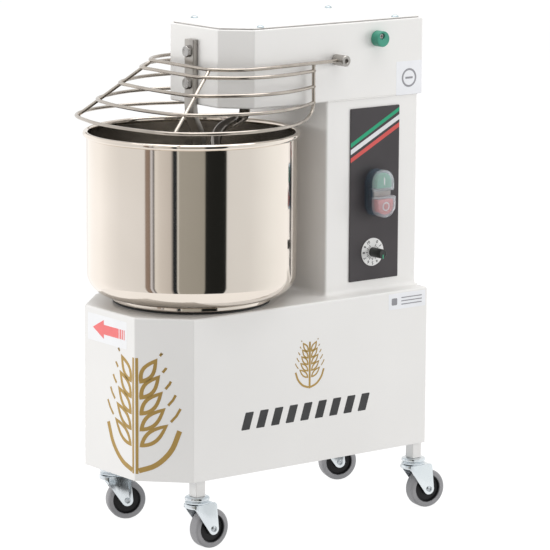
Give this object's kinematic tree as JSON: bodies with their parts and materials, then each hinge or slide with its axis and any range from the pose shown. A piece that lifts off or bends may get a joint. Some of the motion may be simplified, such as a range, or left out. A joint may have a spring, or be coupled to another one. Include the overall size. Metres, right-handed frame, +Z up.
{
  "type": "spiral dough mixer",
  "caption": "Compact spiral dough mixer on swivel casters: boxy painted base, column and head, polished turning bowl, spiral hook, flat breaker bar, hinged wire guard and side controls.",
  "frame": {"origin": "on the floor at the middle of the footprint, between the four casters", "axes": "+X towards the side with the controls, +Y from the bowl towards the column, +Z up"},
  "size_m": [0.2968, 0.4695, 0.6413],
  "materials": {
    "white_paint": "smooth satin powder coat",
    "zinc_plate": "bright zinc plating",
    "polished_stainless": "mirror polished stainless steel",
    "stainless_bar": "ground flat bar",
    "machine_steel": "machined and oiled",
    "grey_casting": "painted casting",
    "black_plastic": "fine matt",
    "seat_rubber": "matt",
    "panel_grey": "satin printed film",
    "green_plastic": "satin",
    "red_plastic": "satin",
    "clear_silicone": "milky clear",
    "dial_white": "printed",
    "grey_tread": "smooth grey rubber"
  },
  "bodies": {
    "housing": {"base_housing": "white_paint", "column_housing": "white_paint", "rear_cover": "white_paint", "head_housing": "white_paint", "head_lid": "white_paint", "leg_front_right": "white_paint", "leg_front_left": "white_paint", "leg_rear_right": "white_paint", "leg_rear_left": "white_paint", "base_floor_plate": "zinc_plate", "breaker_bolt_upper": "zinc_plate", "breaker_bolt_lower": "zinc_plate", "breaker_bar": "stainless_bar", "bowl_bearing_lower": "machine_steel", "bowl_bearing_upper": "machine_steel", "spiral_bearing_lower": "machine_steel", "spiral_bearing_upper": "machine_steel", "lower_chain": "machine_steel", "upper_chain": "machine_steel", "bowl_bearing_housing": "grey_casting", "spiral_bearing_housing": "grey_casting", "drive_bearing": "grey_casting", "gearbox_case": "grey_casting", "motor_body": "grey_casting", "timer_body": "black_plastic", "control_box": "black_plastic", "guard_switch": "black_plastic", "cable_gland": "black_plastic", "control_panel": "panel_grey", "guard_stop": "green_plastic", "button_boot": "clear_silicone", "timer_dial": "dial_white"},
    "guard": {"guard_cage": "polished_stainless", "guard_boss_right": "zinc_plate", "guard_boss_left": "zinc_plate", "guard_pivot_right": "machine_steel", "guard_pivot_left": "machine_steel"},
    "bowl": {"bowl": "polished_stainless", "bowl_carrier": "polished_stainless", "bowl_seat_ring": "seat_rubber", "bowl_shaft": "machine_steel", "bowl_sprocket": "machine_steel"},
    "spiral": {"spiral_hook": "polished_stainless", "spiral_shaft": "machine_steel", "spiral_sprocket": "machine_steel"},
    "drive": {"drive_shaft": "machine_steel", "lower_drive_sprocket": "machine_steel", "upper_drive_sprocket": "machine_steel"},
    "start_button": {"start_button": "green_plastic"},
    "stop_button": {"stop_button": "red_plastic"},
    "timer_knob": {"timer_knob": "black_plastic"},
    "fork_front_right": {"caster_fork_front_right": "zinc_plate"},
    "wheel_front_right": {"caster_wheel_front_right": "grey_tread"},
    "fork_front_left": {"caster_fork_front_left": "zinc_plate"},
    "wheel_front_left": {"caster_wheel_front_left": "grey_tread"},
    "fork_rear_right": {"caster_fork_rear_right": "zinc_plate"},
    "wheel_rear_right": {"caster_wheel_rear_right": "grey_tread"},
    "fork_rear_left": {"caster_fork_rear_left": "zinc_plate"},
    "wheel_rear_left": {"caster_wheel_rear_left": "grey_tread"}
  },
  "joints": [
    {"name": "guard_hinge", "type": "hinge", "parent": "housing", "child": "guard", "pos_m": [0, 0.0645, 0.5945], "axis": [-1, 0, 0], "range_deg": [0, 151]},
    {"name": "bowl_spin", "type": "hinge", "parent": "housing", "child": "bowl", "pos_m": [0, -0.0985, 0.3], "axis": [0, 0, 1], "continuous": true},
    {"name": "spiral_spin", "type": "hinge", "parent": "housing", "child": "spiral", "pos_m": [0, -0.016, 0.56], "axis": [0, 0, 1], "continuous": true},
    {"name": "drive_spin", "type": "hinge", "parent": "housing", "child": "drive", "pos_m": [0, 0.1265, 0.4], "axis": [0, 0, 1], "continuous": true},
    {"name": "start_press", "type": "slide", "parent": "housing", "child": "start_button", "axis": [-1, 0, 0], "range_m": [0, 0.003], "stiffness_N_per_m": 900, "springref_m": -0.001},
    {"name": "stop_press", "type": "slide", "parent": "housing", "child": "stop_button", "axis": [-1, 0, 0], "range_m": [0, 0.003], "stiffness_N_per_m": 900, "springref_m": -0.001},
    {"name": "timer_turn", "type": "hinge", "parent": "housing", "child": "timer_knob", "pos_m": [0.09, 0.1258, 0.344], "axis": [-1, 0, 0], "range_deg": [-150, 150]},
    {"name": "swivel_front_right", "type": "hinge", "parent": "housing", "child": "fork_front_right", "pos_m": [0.0925, -0.157, 0.06], "axis": [0, 0, 1], "continuous": true},
    {"name": "roll_front_right", "type": "hinge", "parent": "fork_front_right", "child": "wheel_front_right", "pos_m": [0.0925, -0.139, 0.025], "axis": [1, 0, 0], "continuous": true},
    {"name": "swivel_front_left", "type": "hinge", "parent": "housing", "child": "fork_front_left", "pos_m": [-0.0925, -0.157, 0.06], "axis": [0, 0, 1], "continuous": true},
    {"name": "roll_front_left", "type": "hinge", "parent": "fork_front_left", "child": "wheel_front_left", "pos_m": [-0.08585, -0.14028, 0.025], "axis": [0.9291, -0.3697, 0], "continuous": true},
    {"name": "swivel_rear_right", "type": "hinge", "parent": "housing", "child": "fork_rear_right", "pos_m": [0.0925, 0.1915, 0.06], "axis": [0, 0, 1], "continuous": true},
    {"name": "roll_rear_right", "type": "hinge", "parent": "fork_rear_right", "child": "wheel_rear_right", "pos_m": [0.0951, 0.20931, 0.025], "axis": [0.9895, -0.1444, 0], "continuous": true},
    {"name": "swivel_rear_left", "type": "hinge", "parent": "housing", "child": "fork_rear_left", "pos_m": [-0.0925, 0.1915, 0.06], "axis": [0, 0, 1], "continuous": true},
    {"name": "roll_rear_left", "type": "hinge", "parent": "fork_rear_left", "child": "wheel_rear_left", "pos_m": [-0.08655, 0.20849, 0.025], "axis": [0.9438, -0.3305, 0], "continuous": true}
  ],
  "couplings": [
    {"joint": "spiral_spin", "follows": "bowl_spin", "ratio": 6.9},
    {"joint": "drive_spin", "follows": "bowl_spin", "ratio": 4.6}
  ]
}
